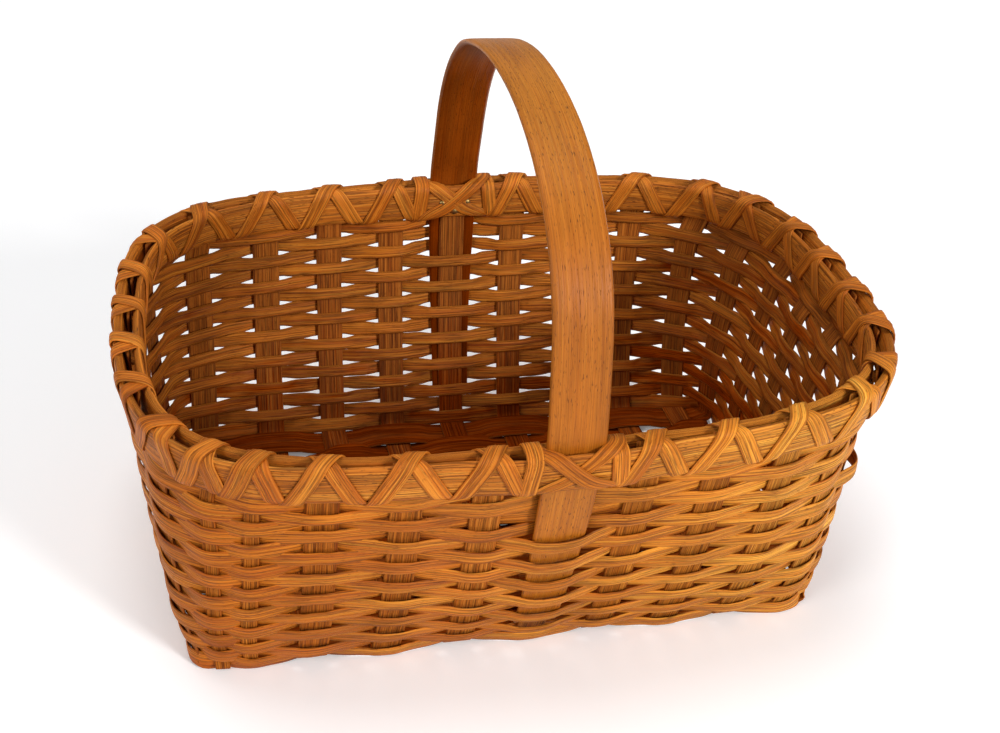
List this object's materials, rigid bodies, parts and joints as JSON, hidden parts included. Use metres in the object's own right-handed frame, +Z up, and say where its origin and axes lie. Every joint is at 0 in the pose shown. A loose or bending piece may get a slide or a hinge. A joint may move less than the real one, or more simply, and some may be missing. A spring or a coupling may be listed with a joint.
{
  "type": "woven splint basket",
  "caption": "Oblong splint basket with a flat woven base, flared rounded walls, a lashed double-hoop rim and one fixed bent strap handle over its middle.",
  "frame": {"origin": "middle of the base's underside, on the surface it rests on", "axes": "+X along the basket's length, +Y away from the viewer across its width, in the handle's plane, +Z up"},
  "size_m": [0.291, 0.2122, 0.202],
  "materials": {
    "stake_hickory": "dry aged splint",
    "weaver_hickory": "dry aged splint",
    "hoop_hickory": "satin, shaved",
    "lashing_hickory": "satin, grooved",
    "handle_hickory": "satin, worn smooth",
    "tack_brass": "dull"
  },
  "bodies": {
    "root": {"cross_stake_1": "stake_hickory", "cross_stake_2": "stake_hickory", "cross_stake_3": "stake_hickory", "cross_stake_4": "stake_hickory", "cross_stake_5": "stake_hickory", "cross_stake_6": "stake_hickory", "cross_stake_7": "stake_hickory", "cross_stake_8": "stake_hickory", "cross_stake_9": "stake_hickory", "long_stake_1": "stake_hickory", "long_stake_2": "stake_hickory", "long_stake_3": "stake_hickory", "long_stake_4": "stake_hickory", "long_stake_5": "stake_hickory", "long_stake_6": "stake_hickory", "base_filler_1": "stake_hickory", "base_filler_2": "stake_hickory", "base_filler_3": "stake_hickory", "base_filler_4": "stake_hickory", "base_filler_5": "stake_hickory", "weaver_1": "weaver_hickory", "weaver_2": "weaver_hickory", "weaver_3": "weaver_hickory", "weaver_4": "weaver_hickory", "weaver_5": "weaver_hickory", "weaver_6": "weaver_hickory", "weaver_7": "weaver_hickory", "weaver_8": "weaver_hickory", "inner_hoop": "hoop_hickory", "outer_hoop": "hoop_hickory", "lashing_forward": "lashing_hickory", "lashing_return": "lashing_hickory", "handle_strap": "handle_hickory", "tack_front_1": "tack_brass", "tack_front_2": "tack_brass", "tack_front_3": "tack_brass", "tack_back_1": "tack_brass", "tack_back_2": "tack_brass", "tack_back_3": "tack_brass"}
  },
  "joints": []
}
